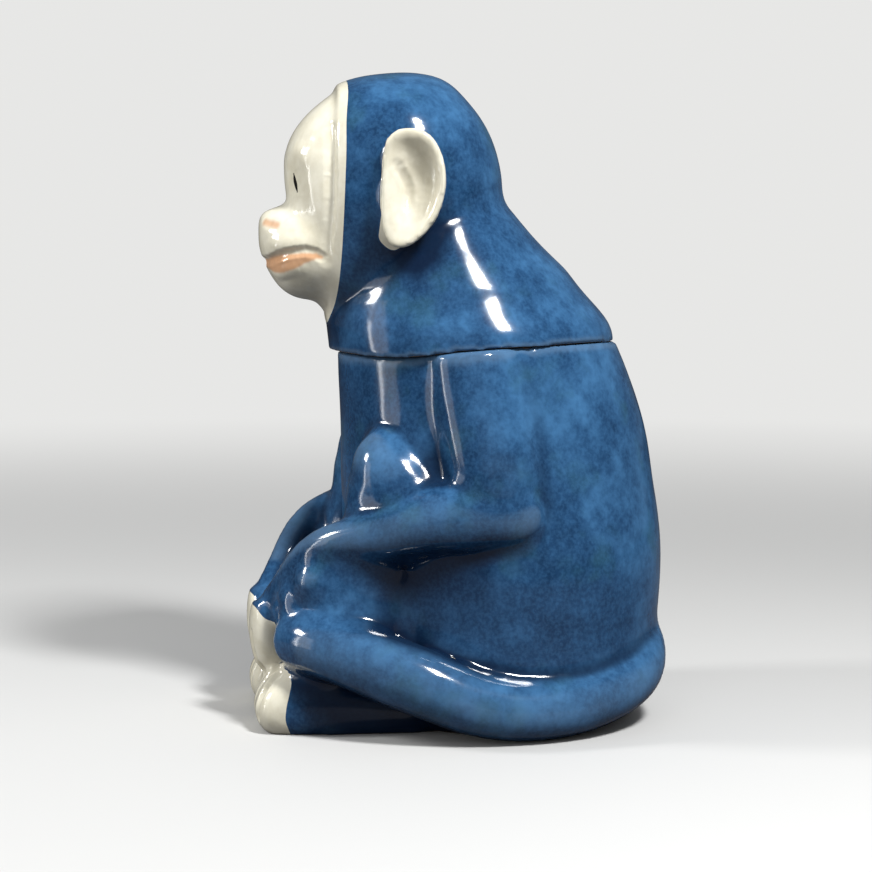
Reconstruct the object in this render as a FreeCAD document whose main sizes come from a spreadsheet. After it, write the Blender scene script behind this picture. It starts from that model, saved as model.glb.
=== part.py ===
import FreeCAD, Part
import math
import os
import sys

import Sketcher

from FreeCAD import Placement, Rotation, Vector

# A glazed jar in the shape of a seated monkey: the head lifts off as the lid.
# The origin is the middle of the foot ring on the table, and the jar's axis is the Z axis.
# The monkey looks towards -Y, and its own left side is +X.
# Lengths are in millimetres.

# Driving sizes
SIZES = {
    # Jar body
    "jar_half_width": 53.0,
    "jar_half_depth": 50.0,
    "seam_height": 115.3,
    "seam_rise": 3.8,
    "jar_wall": 5.5,
    "floor_thickness": 6.0,
    "mouth_depth": 12.0,
    "foot_ring_width": 8.0,
    "foot_recess": 1.5,
    "lap_half_width": 17.0,
    "lap_half_depth": 12.0,
    # Limbs and tail
    "arm_radius": 15.0,
    "forearm_radius": 11.0,
    "thigh_radius": 16.5,
    "shin_radius": 12.3,
    "tail_radius": 9.0,
    "foot_width": 30.0,
    "foot_height": 20.0,
    "hand_width": 19.4,
    "hand_thickness": 12.0,
    # Lid
    "lid_height": 84.7,
    "lid_wall": 5.0,
    "seat_gap": 0.3,
    "head_half_depth": 32.0,
    "face_rim": 3.0,
    "face_depth": 19.5,
    "ear_width": 19.5,
    "ear_depth": 8.6,
    "flange_depth": 8.0,
    "flange_wall": 3.6,
    "flange_clearance": 0.8,
    "flange_step": 1.2,
    # How far a cutting shape runs past what it cuts
    "overrun": 60.0,
}

# Sizes that follow from the ones above
DRIVEN_SIZES = {
    "mouth_radius": "min(jar_half_width * 0.7075; jar_half_depth * 0.75)",
    "head_half_width": "jar_half_width * 0.615",
    "face_half_width": "head_half_width * 0.736",
    "muzzle_half_width": "head_half_width * 0.567",
    "muzzle_half_height": "lid_height * 0.183",
    "ear_height": "lid_height * 0.418",
}

# Each row is height, centre, half depth and half width, as shares of the jar's own sizes.
TORSO_SHARES = [
    (0.000, 0.000, 0.800, 0.830),
    (0.035, 0.000, 0.890, 0.915),
    (0.170, 0.008, 0.970, 0.975),
    (0.400, 0.018, 1.000, 0.990),
    (0.572, -0.005, 0.995, 0.942),
    (0.711, -0.032, 0.974, 0.890),
    (0.850, -0.073, 0.939, 0.843),
    (0.932, -0.111, 0.909, 0.822),
    (1.006, -0.148, 0.874, 0.806),
    (1.067, -0.186, 0.836, 0.792),
]
CAVITY_SHARES = [
    (0.000, 0.000, 0.820, 0.845),
    (0.035, 0.000, 0.890, 0.915),
    (0.130, 0.004, 0.960, 0.968),
    (0.400, 0.018, 1.000, 0.990),
    (0.572, -0.005, 0.995, 0.942),
    (0.711, -0.032, 0.974, 0.890),
]
MOUTH_CENTRE_SHARE = -0.150
LAP_SHARES = [
    (0.000, -0.930, 0.90, 0.90),
    (0.080, -0.945, 1.00, 1.00),
    (0.250, -0.930, 1.00, 1.00),
    (0.400, -0.860, 0.95, 0.95),
    (0.500, -0.780, 0.80, 0.85),
    (0.560, -0.700, 0.55, 0.60),
]

# The parting line between jar and lid: depth, and rise as a share of seam_rise.
SEAM_SHARES = [
    (-1.80, -0.30), (-1.06, -0.32), (-0.81, -0.50), (-0.61, -0.40), (-0.41, -0.03),
    (-0.17, 0.26), (0.13, 0.42), (0.43, 0.50), (0.59, 0.44), (0.71, 0.32), (1.40, 0.28),
]

# Limb paths: x, y and z as shares of the jar's half width, half depth and seam height, and
# the radius as a share of the limb's own.
UPPER_ARM_SHARES = [
    (0.580, -0.255, 1.075, 0.97),
    (0.615, -0.240, 0.971, 1.030),
    (0.685, -0.205, 0.850, 1.030),
    (0.765, -0.165, 0.728, 0.985),
    (0.813, -0.142, 0.642, 0.90),
    (0.835, -0.132, 0.590, 0.75),
    (0.845, -0.128, 0.551, 0.50),
    (0.852, -0.128, 0.532, 0.20),
]
FOREARM_SHARES = [
    (0.858, 0.112, 0.586, 0.25),
    (0.866, 0.086, 0.585, 0.60),
    (0.868, 0.010, 0.584, 0.87),
    (0.872, -0.160, 0.584, 0.970),
    (0.862, -0.390, 0.578, 0.950),
    (0.832, -0.600, 0.561, 0.845),
    (0.779, -0.806, 0.534, 0.700),
    (0.698, -0.986, 0.514, 0.610),
    (0.585, -1.156, 0.486, 0.545),
    (0.472, -1.272, 0.441, 0.473),
    (0.358, -1.362, 0.378, 0.436),
    (0.283, -1.422, 0.337, 0.418),
    (0.236, -1.466, 0.295, 0.400),
]
THIGH_SHARES = [
    (0.400, 0.160, 0.340, 0.60),
    (0.480, -0.060, 0.395, 0.85),
    (0.565, -0.320, 0.480, 0.92),
    (0.605, -0.550, 0.560, 0.90),
    (0.578, -0.690, 0.640, 0.86),
    (0.556, -0.750, 0.700, 0.76),
    (0.548, -0.768, 0.742, 0.62),
    (0.545, -0.778, 0.771, 0.45),
    (0.543, -0.784, 0.790, 0.27),
    (0.542, -0.786, 0.800, 0.08),
]
SHIN_SHARES = [
    (0.550, -0.735, 0.685, 0.96),
    (0.547, -0.765, 0.607, 1.03),
    (0.542, -0.795, 0.520, 1.06),
    (0.530, -0.885, 0.416, 1.11),
    (0.510, -0.995, 0.312, 1.11),
    (0.490, -1.095, 0.217, 1.03),
    (0.470, -1.165, 0.121, 0.94),
    (0.458, -1.190, 0.050, 0.88),
]
CALF_SHARES = [
    (0.500, -0.540, 0.570, 0.66),
    (0.525, -0.585, 0.445, 1.00),
    (0.525, -0.625, 0.320, 1.05),
    (0.512, -0.665, 0.200, 1.03),
    (0.495, -0.700, 0.100, 0.97),
    (0.485, -0.720, 0.030, 0.90),
]
TAIL_SHARES = [
    (-0.260, 0.690, 0.250, 0.84),
    (0.040, 0.812, 0.212, 1.00),
    (0.320, 0.816, 0.180, 1.03),
    (0.620, 0.694, 0.128, 1.02),
    (0.865, 0.390, 0.092, 1.01),
    (0.985, 0.014, 0.082, 1.01),
    (1.010, -0.266, 0.102, 1.05),
    (0.985, -0.546, 0.149, 1.12),
    (0.910, -0.806, 0.191, 1.14),
    (0.802, -1.026, 0.221, 1.09),
    (0.668, -1.196, 0.237, 1.08),
    (0.548, -1.288, 0.243, 1.03),
    (0.490, -1.342, 0.244, 0.89),
    (0.448, -1.384, 0.245, 0.58),
    (0.433, -1.399, 0.245, 0.20),
]

# Feet: depth, centre, half width, underside and top, as shares of jar and foot sizes.
FOOT_SHARES = [
    (-0.500, 0.490, 0.38, -0.20, 0.72),
    (-0.780, 0.490, 0.42, -0.22, 0.84),
    (-1.050, 0.470, 0.46, -0.24, 0.96),
    (-1.285, 0.438, 0.50, -0.23, 0.99),
    (-1.415, 0.420, 0.50, -0.18, 0.89),
    (-1.505, 0.414, 0.47, -0.06, 0.74),
    (-1.553, 0.412, 0.38, 0.10, 0.56),
    (-1.574, 0.412, 0.20, 0.23, 0.42),
]
TOE_LINE_SHARE = -1.355
FOOT_SQUARENESS = 0.80

# Hands: height, centre across, centre in depth, half width and half thickness.
HAND_SHARES = [
    (0.326, 0.240, -1.462, 0.32, 0.45),
    (0.300, 0.224, -1.472, 0.41, 0.49),
    (0.262, 0.206, -1.478, 0.48, 0.50),
    (0.220, 0.199, -1.476, 0.50, 0.50),
    (0.178, 0.199, -1.464, 0.47, 0.47),
    (0.151, 0.199, -1.456, 0.39, 0.40),
    (0.137, 0.199, -1.452, 0.26, 0.27),
    (0.132, 0.199, -1.451, 0.10, 0.10),
]
HAND_SQUARENESS = 0.85

# Cape: front depth and height, back depth and height, half width. Depths are shares of the
# jar's half depth, heights are shares of lid_height above the seam.
CAPE_SHARES = [
    (-1.070, -0.084, 0.736, -0.055, 0.862),
    (-1.076, -0.014, 0.706, 0.013, 0.842),
    (-1.086, 0.039, 0.688, 0.072, 0.824),
    (-1.092, 0.079, 0.608, 0.140, 0.787),
    (-1.080, 0.124, 0.460, 0.241, 0.732),
    (-1.046, 0.174, 0.296, 0.344, 0.683),
    (-0.996, 0.227, 0.144, 0.440, 0.638),
    (-0.936, 0.280, 0.012, 0.532, 0.589),
    (-0.836, 0.351, -0.096, 0.587, 0.509),
    (-0.700, 0.421, -0.216, 0.610, 0.340),
]

# Head: height above the seam as a share of lid_height, front and back as shares of
# head_half_depth about the head's centre, and half width as a share of head_half_width.
HEAD_CENTRE_SHARE = -0.640
HEAD_SHARES = [
    (0.100, -0.810, 0.560, 0.36),
    (0.170, -0.900, 0.750, 0.58),
    (0.265, -0.960, 0.850, 0.76),
    (0.385, -0.990, 0.930, 0.89),
    (0.520, -1.000, 0.995, 0.98),
    (0.620, -1.000, 1.000, 1.00),
    (0.715, -0.970, 0.945, 0.98),
    (0.800, -0.910, 0.850, 0.92),
    (0.870, -0.835, 0.725, 0.82),
    (0.924, -0.735, 0.600, 0.68),
    (0.958, -0.590, 0.500, 0.53),
    (0.982, -0.400, 0.380, 0.35),
    (0.995, -0.180, 0.240, 0.18),
    (1.000, -0.030, 0.130, 0.06),
]
CAVITY_START_SHARE = 0.04
HEAD_CAVITY_SHARES = [
    (0.150, -0.290, 1.680, 0.970),
    (0.290, -0.280, 1.220, 0.860),
    (0.430, -0.330, 0.880, 0.790),
    (0.600, -0.330, 0.840, 0.800),
    (0.760, -0.320, 0.720, 0.700),
    (0.860, -0.270, 0.540, 0.510),
    (0.915, -0.160, 0.330, 0.270),
]

# The line where the pale face meets the hood: depth, height and how thick the rim is there.
FACE_LINE_SHARES = [
    (-0.975, 1.100, 1.00), (-0.972, 0.965, 1.00), (-0.998, 0.823, 1.00), (-1.004, 0.716, 1.00),
    (-1.012, 0.595, 1.00), (-1.022, 0.431, 1.00), (-1.030, 0.327, 1.00), (-1.042, 0.233, 0.85),
    (-1.060, 0.162, 0.55), (-1.096, 0.083, 0.25),
]
FACE_REACH_SHARE = -2.200

# Face: height, how far it stands out as a share of face_depth, and half width.
FACE_SHARES = [
    (0.100, 0.30, 0.14),
    (0.140, 0.42, 0.32),
    (0.180, 0.58, 0.50),
    (0.225, 0.72, 0.67),
    (0.315, 0.80, 0.86),
    (0.410, 0.86, 0.96),
    (0.505, 0.94, 1.00),
    (0.600, 1.00, 1.00),
    (0.680, 1.00, 0.97),
    (0.765, 0.90, 0.90),
    (0.835, 0.69, 0.79),
    (0.885, 0.46, 0.66),
    (0.920, 0.26, 0.51),
    (0.948, 0.12, 0.30),
]
FACE_CENTRE_SHARE = -0.960

# Muzzle: depth as a share of the jar's half depth, centre height, half height, half width.
MUZZLE_SHARES = [
    (-1.060, 0.342, 0.93, 1.00),
    (-1.180, 0.352, 0.99, 1.00),
    (-1.286, 0.357, 0.96, 0.95),
    (-1.366, 0.364, 0.85, 0.84),
    (-1.426, 0.378, 0.70, 0.69),
    (-1.468, 0.395, 0.55, 0.54),
    (-1.498, 0.409, 0.38, 0.38),
    (-1.512, 0.417, 0.18, 0.18),
]

# Ear: the outline round its middle, then reach and outline scale for each ring.
EAR_OUTLINE_SHARES = [
    (-0.44, 0.34), (-0.29, 0.47), (-0.02, 0.50), (0.28, 0.43), (0.47, 0.22), (0.49, -0.02),
    (0.36, -0.24), (0.13, -0.41), (-0.16, -0.50), (-0.41, -0.43), (-0.50, -0.18), (-0.48, 0.09),
]
EAR_RING_SHARES = [
    (-0.60, 0.74), (-0.15, 0.80), (0.30, 0.90), (0.70, 0.98), (0.97, 0.98), (0.99, 0.86),
    (0.81, 0.72), (0.67, 0.54), (0.56, 0.34), (0.49, 0.13),
]
EAR_PLACE_SHARES = (0.93, -0.590, 0.575)
EAR_TURN_DEGREES = 14.0

RING_POINTS = 12

doc = FreeCAD.newDocument("monkey_jar")
sheet = doc.addObject("Spreadsheet::Sheet", "sizes")
for row, (alias, value) in enumerate(SIZES.items(), start=1):
    sheet.set(f"A{row}", alias)
    sheet.set(f"B{row}", str(value))
    sheet.setAlias(f"B{row}", alias)
for row, (alias, formula) in enumerate(DRIVEN_SIZES.items(), start=len(SIZES) + 1):
    sheet.set(f"A{row}", alias)
    sheet.set(f"B{row}", f"={formula}")
    sheet.setAlias(f"B{row}", alias)
doc.recompute()


def size(alias):
    """The value of one cell of the sheet."""
    return float(getattr(sheet, alias))


def jar_x(share):
    """A place across the figure."""
    return share * size("jar_half_width")


def jar_y(share):
    """A place in depth."""
    return share * size("jar_half_depth")


def jar_z(share):
    """A height on the jar."""
    return share * size("seam_height")


def lid_z(share):
    """A height on the lid."""
    return size("seam_height") + share * size("lid_height")


def closed_spline(points):
    """A smooth closed curve through the points, with even knots so that rings match."""
    knots = [k / len(points) for k in range(len(points) + 1)]
    curve = Part.BSplineCurve()
    curve.interpolate(Points=points, PeriodicFlag=True, Parameters=knots)
    return curve


def ring(centre, across, along, squareness=1.0):
    """An oval curve round centre. A squareness under 1 makes it boxier."""
    points = []
    for k in range(RING_POINTS):
        turn = 2 * math.pi * k / RING_POINTS
        c, s = math.cos(turn), math.sin(turn)
        u = math.copysign(abs(c) ** squareness, c)
        v = math.copysign(abs(s) ** squareness, s)
        points.append(centre + across * u + along * v)
    return closed_spline(points)


def flat_face(curve):
    """The flat face inside a closed curve."""
    return Part.Face(Part.Wire([curve.toShape()]))


def skin(name, curves):
    """A freeform solid through closed curves. No primitive or sketch makes this form."""
    surface = Part.BSplineSurface()
    surface.buildFromNSections(curves)
    ends = [flat_face(curves[0]), flat_face(curves[-1])]
    shell = Part.makeShell([surface.toShape(), *ends])
    shell.sewShape()
    form = doc.addObject("Part::Feature", name)
    form.Shape = Part.makeSolid(shell)
    return form


def limb(name, path_shares, radius):
    """A round limb: circles whose sizes and places follow the sheet, joined by a loft."""
    centres = [Vector(jar_x(x), jar_y(y), jar_z(z)) for x, y, z, _ in path_shares]
    circles = []
    for k, (x, y, z, girth) in enumerate(path_shares):
        ahead = centres[min(k + 1, len(centres) - 1)]
        behind = centres[max(k - 1, 0)]
        circle = doc.addObject("Part::Circle", f"{name}_ring_{k}")
        side = Vector(1, 0, 0) if name != "tail_form" else Vector(0, 0, 1)
        circle.Placement = Placement(centres[k], Rotation(side, Vector(), ahead - behind, "ZXY"))
        circle.setExpression("Radius", f"sizes.{radius} * {girth}")
        circle.setExpression("Placement.Base.x", f"sizes.jar_half_width * {x}")
        circle.setExpression("Placement.Base.y", f"sizes.jar_half_depth * {y}")
        circle.setExpression("Placement.Base.z", f"sizes.seam_height * {z}")
        circles.append(circle)
    form = doc.addObject("Part::Loft", name)
    form.Sections = circles
    form.Solid = True
    form.Ruled = False
    return form


def cut(name, base, *tools):
    """The base with each tool taken out of it in turn."""
    for k, tool in enumerate(tools):
        last = k == len(tools) - 1
        result = doc.addObject("Part::Cut", name if last else f"{name}_step_{k}")
        result.Base = base
        result.Tool = tool
        result.Refine = False
        base = result
    return base


def common(name, base, tool):
    """What the base and the tool share."""
    result = doc.addObject("Part::Common", name)
    result.Base = base
    result.Tool = tool
    return result


def fuse(name, *shapes):
    """Several forms as one solid."""
    result = doc.addObject("Part::MultiFuse", name)
    result.Shapes = list(shapes)
    result.Refine = False
    return result


def mirrored(name, source):
    """The same piece on the figure's right side."""
    result = doc.addObject("Part::Mirroring", name)
    result.Source = source
    result.Base = Vector(0, 0, 0)
    result.Normal = Vector(1, 0, 0)
    return result


def drawn_out(name, face, direction, length):
    """A flat face drawn out to both sides of its plane, to a length from the sheet."""
    outline = doc.addObject("Part::Feature", f"{name}_outline")
    outline.Shape = face
    block = doc.addObject("Part::Extrusion", name)
    block.Base = outline
    block.DirMode = "Custom"
    block.Dir = direction
    block.Symmetric = True
    block.Solid = True
    block.setExpression("LengthFwd", length)
    return block


def region(name, curve_points, corner_points):
    """A side profile bounded by a smooth curve and by straight lines through the corners."""
    curve = Part.BSplineCurve()
    curve.interpolate(curve_points)
    edges = [curve.toShape()]
    corners = [curve_points[-1], *corner_points, curve_points[0]]
    edges += [Part.makeLine(a, b) for a, b in zip(corners, corners[1:])]
    return drawn_out(name, Part.Face(Part.Wire(edges)), Vector(1, 0, 0), "4 * sizes.overrun")


def torso_ring(height, centre, half_depth, half_width, inset=0.0):
    """One level oval of the jar, drawn in by inset."""
    return ring(
        Vector(0, jar_y(centre), height),
        Vector(jar_x(half_width) - inset, 0, 0),
        Vector(0, size("jar_half_depth") * half_depth - inset, 0),
    )


def seam_points(lift):
    """The parting line seen from the side, raised by lift."""
    return [
        Vector(0, jar_y(y), size("seam_height") + rise * size("seam_rise") + lift)
        for y, rise in SEAM_SHARES
    ]


def make_jar_shell(torso, above_seam):
    """The hollow seated body, open at the mouth, with a recessed foot."""
    wall = size("jar_wall")
    floor = size("floor_thickness")
    rings = [
        torso_ring(floor + jar_z(z), y, depth, width, wall)
        for z, y, depth, width in CAVITY_SHARES
    ]
    neck = Vector(0, jar_y(MOUTH_CENTRE_SHARE), size("seam_height") - size("mouth_depth") / 2)
    radius = size("mouth_radius") - wall / 2
    rings.append(ring(neck, Vector(radius, 0, 0), Vector(0, radius, 0)))
    cavity = skin("cavity_form", rings)
    mouth = doc.addObject("Part::Cylinder", "mouth_form")
    mouth.setExpression("Radius", "sizes.mouth_radius")
    mouth.setExpression("Height", "sizes.mouth_depth + sizes.overrun")
    mouth.setExpression("Placement.Base.y", f"sizes.jar_half_depth * {MOUTH_CENTRE_SHARE}")
    mouth.setExpression("Placement.Base.z", "sizes.seam_height - sizes.mouth_depth")
    _, centre, depth, width = TORSO_SHARES[0]
    foot = flat_face(torso_ring(0, centre, depth, width, size("foot_ring_width")))
    recess = drawn_out("foot_recess_form", foot, Vector(0, 0, 1), "2 * sizes.foot_recess")
    return cut("jar_shell", torso, above_seam, cavity, mouth, recess)


def make_lap():
    """The filled space between the shins, below the belly."""
    rings = []
    for z, y, depth, width in LAP_SHARES:
        across = Vector(size("lap_half_width") * width, 0, 0)
        deep = Vector(0, size("lap_half_depth") * depth, 0)
        rings.append(ring(Vector(0, jar_y(y), jar_z(z)), across, deep))
    return skin("lap_form", rings)


def make_foot(below_ground):
    """The whole left foot, heel to toes, and the block that parts the toes from it."""
    width, height = size("foot_width"), size("foot_height")
    rings = []
    for y, x, half_width, low, high in FOOT_SHARES:
        centre = Vector(jar_x(x), jar_y(y), height * (low + high) / 2)
        across = Vector(width * half_width, 0, 0)
        up = Vector(0, 0, height * (high - low) / 2)
        rings.append(ring(centre, across, up, FOOT_SQUARENESS))
    form = cut("foot_form", skin("foot_skin", rings), below_ground)
    toe_block = doc.addObject("Part::Box", "toe_block")
    toe_block.setExpression("Length", "2 * sizes.overrun")
    toe_block.setExpression("Width", "sizes.overrun")
    toe_block.setExpression("Height", "2 * sizes.overrun")
    toe_block.setExpression("Placement.Base.x", "-sizes.overrun / 2")
    toe_block.setExpression(
        "Placement.Base.y",
        f"sizes.jar_half_depth * {TOE_LINE_SHARE} - sizes.overrun",
    )
    toe_block.setExpression("Placement.Base.z", "-sizes.overrun / 2")
    return form, toe_block


def make_hand():
    """The left hand, hanging in front of the shins."""
    rings = []
    for z, x, y, half_width, half_thickness in HAND_SHARES:
        centre = Vector(jar_x(x), jar_y(y), jar_z(z))
        across = Vector(size("hand_width") * half_width, 0, 0)
        deep = Vector(0, size("hand_thickness") * half_thickness, 0)
        rings.append(ring(centre, across, deep, HAND_SQUARENESS))
    return skin("hand_skin", rings)


def make_cape():
    """The shoulders of the lid, which rise from the seam to the nape."""
    rings = []
    for front_y, front_z, back_y, back_z, half_width in CAPE_SHARES:
        front = Vector(0, jar_y(front_y), lid_z(front_z))
        back = Vector(0, jar_y(back_y), lid_z(back_z))
        rings.append(
            ring((front + back) / 2, Vector(jar_x(half_width), 0, 0), (back - front) / 2)
        )
    return skin("cape_form", rings)


def level_rings(shares):
    """Level ovals of the head: height, front, back and half width."""
    middle = jar_y(HEAD_CENTRE_SHARE)
    rings = []
    for z, front, back, half_width in shares:
        half_depth = size("head_half_depth") * (back - front) / 2
        centre = Vector(0, middle + size("head_half_depth") * (back + front) / 2, lid_z(z))
        across = Vector(size("head_half_width") * half_width, 0, 0)
        rings.append(ring(centre, across, Vector(0, half_depth, 0)))
    return rings


def make_head_cavity():
    """The hollow of the lid: the flange's bore, which narrows upwards into the head."""
    flange_bore = size("mouth_radius") - size("flange_clearance") - size("flange_wall")
    radius = flange_bore - size("flange_step")
    rings = []
    for height in (size("seam_height") - size("flange_depth"), lid_z(CAVITY_START_SHARE)):
        centre = Vector(0, jar_y(MOUTH_CENTRE_SHARE), height)
        rings.append(ring(centre, Vector(radius, 0, 0), Vector(0, radius, 0)))
    rings += level_rings(HEAD_CAVITY_SHARES)
    return skin("head_cavity_form", rings)


def make_face(head, cape, face_region, rim_region):
    """The pale mask: brow and cheeks, muzzle, and the thin rim that meets the hood."""
    rings = []
    for z, reach, half_width in FACE_SHARES:
        centre = Vector(0, jar_y(FACE_CENTRE_SHARE), lid_z(z))
        across = Vector(size("face_half_width") * half_width, 0, 0)
        rings.append(ring(centre, across, Vector(0, size("face_depth") * reach, 0)))
    visage = skin("visage_form", rings)
    rings = []
    for y, z, half_height, half_width in MUZZLE_SHARES:
        centre = Vector(0, jar_y(y), lid_z(z))
        across = Vector(size("muzzle_half_width") * half_width, 0, 0)
        up = Vector(0, 0, size("muzzle_half_height") * half_height)
        rings.append(ring(centre, across, up))
    muzzle = skin("muzzle_form", rings)
    rim = common("face_rim_form", head, rim_region)
    features = common("features_form", fuse("features_fused", visage, muzzle), face_region)
    return cut("face", fuse("face_fused", features, rim), cape)


def make_ears(hood):
    """The ears: an egg-shaped dish on each side of the hood."""
    x, y, z = EAR_PLACE_SHARES
    middle = Vector(size("head_half_width") * x, jar_y(y), lid_z(z))
    turn = Rotation(Vector(0, 0, 1), -EAR_TURN_DEGREES)
    wires = []
    for reach, scale in EAR_RING_SHARES:
        points = []
        for across, up in EAR_OUTLINE_SHARES:
            point = Vector(
                size("ear_depth") * reach,
                size("ear_width") * across * scale,
                size("ear_height") * up * scale,
            )
            points.append(middle + turn.multVec(point))
        wires.append(closed_spline(points))
    form = skin("ear_form", wires)
    return cut("left_ear", form, hood), cut("right_ear", mirrored("right_ear_form", form), hood)


def make_flange(lid_shell):
    """The ring under the lid that drops into the mouth and keeps the head in place."""
    body = doc.addObject("PartDesign::Body", "flange_body")
    plane = next(p for p in body.Origin.OriginFeatures if p.Role == "XY_Plane")
    sketch = body.newObject("Sketcher::SketchObject", "flange_sketch")
    sketch.AttachmentSupport = [(plane, "")]
    sketch.MapMode = "FlatFace"
    outer = "sizes.mouth_radius - sizes.flange_clearance"
    start = size("mouth_radius") - size("flange_clearance")
    for radius, expression in (
        (start, outer),
        (start - size("flange_wall"), f"{outer} - sizes.flange_wall"),
    ):
        circle = sketch.addGeometry(Part.Circle(Vector(), Vector(0, 0, 1), radius), False)
        sketch.addConstraint(Sketcher.Constraint("Coincident", circle, 3, -1, 1))
        limit = sketch.addConstraint(Sketcher.Constraint("Radius", circle, radius))
        sketch.setExpression(f"Constraints[{limit}]", expression)
    pad = body.newObject("PartDesign::Pad", "flange_pad")
    pad.Profile = sketch
    pad.setExpression("Length", "sizes.flange_depth + sizes.seam_rise")
    body.setExpression("Placement.Base.y", f"sizes.jar_half_depth * {MOUTH_CENTRE_SHARE}")
    body.setExpression("Placement.Base.z", "sizes.seam_height - sizes.flange_depth")
    return cut("lid_flange", body, lid_shell)


def build():
    """Makes every piece of the jar and returns the ones to write, by name."""
    back = jar_y(SEAM_SHARES[-1][0])
    front = jar_y(SEAM_SHARES[0][0])
    overrun = size("overrun")
    top = lid_z(1.0) + overrun
    above_seam = region(
        "above_seam", seam_points(0), [Vector(0, back, top), Vector(0, front, top)]
    )
    below_lid = region(
        "below_lid",
        seam_points(size("seat_gap")),
        [Vector(0, back, -overrun), Vector(0, front, -overrun)],
    )
    ground = doc.addObject("Part::Box", "below_ground")
    for side, alias in (("Length", "4"), ("Width", "4"), ("Height", "1")):
        ground.setExpression(side, f"{alias} * sizes.overrun")
    ground.setExpression("Placement.Base.x", "-2 * sizes.overrun")
    ground.setExpression("Placement.Base.y", "-2 * sizes.overrun")
    ground.setExpression("Placement.Base.z", "-sizes.overrun")

    barrel = skin("barrel_form", [torso_ring(jar_z(z), y, d, w) for z, y, d, w in TORSO_SHARES])
    torso = fuse("torso_form", barrel, make_lap())
    jar_shell = make_jar_shell(torso, above_seam)

    foot, toe_block = make_foot(ground)
    heel = cut("heel_form", foot, toe_block)
    thigh = limb("thigh_form", THIGH_SHARES, "thigh_radius")
    shin = cut("shin_cut", limb("shin_form", SHIN_SHARES, "shin_radius"), ground)
    calf = cut("calf_cut", limb("calf_form", CALF_SHARES, "shin_radius"), ground)
    leg = fuse("leg_form", thigh, shin, calf, heel)
    right_leg_form = mirrored("right_leg_form", leg)
    left_leg = cut("left_leg", leg, torso)
    right_leg = cut("right_leg", right_leg_form, torso)
    left_toes = cut("left_toes", common("toes_form", foot, toe_block), leg)

    upper = limb("upper_arm_form", UPPER_ARM_SHARES, "arm_radius")
    fore = limb("forearm_form", FOREARM_SHARES, "forearm_radius")
    arm = fuse("arm_form", upper, fore)
    left_arm = cut("left_arm", arm, torso, leg, above_seam)
    right_arm_form = mirrored("right_arm_form", arm)
    right_arm = cut("right_arm", right_arm_form, torso, right_leg_form, above_seam)
    left_hand = cut("left_hand", make_hand(), arm, leg, left_toes)
    tail_form = limb("tail_form", TAIL_SHARES, "tail_radius")
    tail = cut("tail", tail_form, leg, torso, ground, left_toes, left_hand, arm)

    face_line = [Vector(0, jar_y(y), lid_z(z)) for y, z, _ in FACE_LINE_SHARES]
    reach = jar_y(FACE_REACH_SHARE)
    face_region = region(
        "face_region", face_line, [Vector(0, reach, p.z) for p in (face_line[-1], face_line[0])]
    )
    rim_line = [
        Vector(0, jar_y(y) - size("face_rim") * rim, lid_z(z)) for y, z, rim in FACE_LINE_SHARES
    ]
    beyond_rim = region(
        "beyond_rim", rim_line, [Vector(0, reach, p.z) for p in (rim_line[-1], rim_line[0])]
    )
    rim_region = cut("rim_region", face_region, beyond_rim)
    head = skin("head_form", level_rings(HEAD_SHARES))
    cape = make_cape()
    hood = cut("hood_form", head, face_region)
    face = make_face(head, cape, face_region, rim_region)

    lid_fused = fuse("lid_fused", hood, cape)
    lid_shell = cut("lid_shell", lid_fused, below_lid, make_head_cavity())
    left_ear, right_ear = make_ears(lid_fused)

    return {
        "jar_shell": jar_shell,
        "left_leg": left_leg,
        "right_leg": right_leg,
        "left_toes": left_toes,
        "right_toes": mirrored("right_toes", left_toes),
        "left_arm": left_arm,
        "right_arm": right_arm,
        "left_hand": left_hand,
        "right_hand": mirrored("right_hand", left_hand),
        "tail": tail,
        "lid_shell": lid_shell,
        "lid_flange": make_flange(lid_shell),
        "face": face,
        "left_ear": left_ear,
        "right_ear": right_ear,
    }


def write(pieces):
    """Checks every object and writes one STEP file for each piece."""
    doc.recompute()
    broken = [o.Name for o in doc.Objects if {"Invalid", "Error"} & set(o.State)]
    if broken:
        sys.exit(f"these objects failed: {broken}")
    for name, piece in pieces.items():
        piece.Label = name
        shape = piece.Shape
        if shape.isNull() or not shape.isValid() or not shape.Solids:
            sys.exit(f"{name} is not a valid solid")
    os.makedirs("parts", exist_ok=True)
    for name, piece in pieces.items():
        piece.Shape.exportStep(os.path.join("parts", f"{name}.step"))
        box = piece.Shape.BoundBox
        print(
            f"{name}: {len(piece.Shape.Solids)} solid, {piece.Shape.Volume:.0f} mm3, "
            f"x {box.XMin:.1f} {box.XMax:.1f} y {box.YMin:.1f} {box.YMax:.1f} "
            f"z {box.ZMin:.1f} {box.ZMax:.1f}"
        )


write(build())
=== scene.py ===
"""A glazed jar in the shape of a seated monkey, whose head and shoulders are the lid.

The jar and its lid are one casting each. The members that the source keeps apart are run
together here into one skin, as slip is in the mould, and each skin is then parted where the
blue glaze meets the cream. Lengths are in millimetres unless a name says metres.
"""

from __future__ import annotations

import logging
import math
from collections.abc import Iterator
from contextlib import contextmanager
from dataclasses import dataclass, replace
from enum import Enum

import bmesh
import bpy
import numpy as np
from mathutils import Matrix, Vector
from mathutils.bvhtree import BVHTree

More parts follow.
